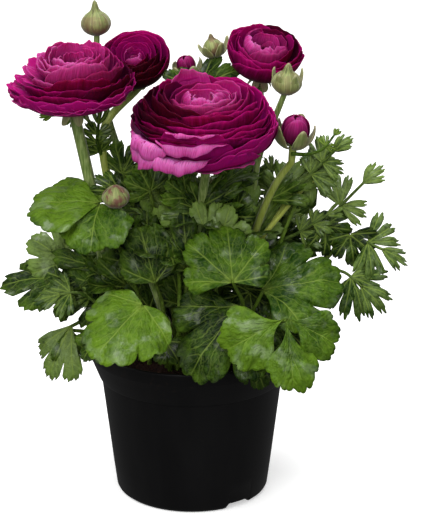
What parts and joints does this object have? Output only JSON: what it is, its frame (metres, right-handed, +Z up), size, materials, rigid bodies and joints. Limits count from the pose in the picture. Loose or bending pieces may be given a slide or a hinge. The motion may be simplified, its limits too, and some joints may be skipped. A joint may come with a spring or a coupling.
{
  "type": "potted ranunculus",
  "caption": "Ranunculus in a round plastic nursery pot, with full magenta blooms, green buds, and lobed and feathery leaves rising from dark peat.",
  "frame": {"origin": "centre of the pot's underside, on the surface the pot stands on", "axes": "+Z up along the pot's axis, the front bloom and the lowest front leaves face -Y, +X to the right seen from the front"},
  "size_m": [0.2332, 0.1822, 0.283],
  "materials": {
    "pot_plastic": "near-black injection-moulded plastic with a faint sheen",
    "peat": "crumbly dark red-brown peat, matte",
    "petal": "satin magenta petals with fine veins",
    "stem": "pale green, slightly downy",
    "bud": "yellow-green sepals with purple-brown streaks",
    "leaf": "semi-gloss green with pale veins",
    "leaf_dark": "semi-gloss dark green with pale veins"
  },
  "bodies": {
    "root": {"pot": "pot_plastic", "soil": "peat", "bloom_front": "petal", "bloom_left": "petal", "bloom_back_left": "petal", "bloom_right": "petal", "bud_petals_opening": "petal", "bud_petals_half_hidden": "petal", "stem_bloom_front": "stem", "stem_bloom_left": "stem", "stem_bloom_back_left": "stem", "stem_bloom_right": "stem", "stem_bud_opening": "stem", "bud_stem_tall": "bud", "bud_stem_right": "bud", "bud_stem_back": "bud", "bud_stem_low": "bud", "leaf_front_left_high": "leaf", "leaf_front_left_low": "leaf", "leaf_front_middle": "leaf", "leaf_front_right": "leaf", "leaf_front_hanging": "leaf", "leaf_front_drooping": "leaf_dark", "leaf_left_far": "leaf_dark", "leaf_left_pale": "leaf", "leaf_left_hanging": "leaf", "leaf_left_inner": "leaf_dark", "leaf_middle_back": "leaf_dark", "leaf_centre": "leaf_dark", "leaf_centre_left": "leaf_dark", "leaf_centre_back": "leaf_dark", "leaf_centre_right": "leaf_dark", "leaf_right_back": "leaf_dark", "leaf_back_1": "leaf_dark", "leaf_back_2": "leaf", "leaf_back_3": "leaf_dark", "leaf_back_4": "leaf", "leaf_back_5": "leaf_dark", "leaf_back_6": "leaf", "feather_right_high": "leaf", "feather_right_middle": "leaf", "feather_right_long": "leaf", "feather_right_low": "leaf", "feather_left": "leaf"}
  },
  "joints": []
}
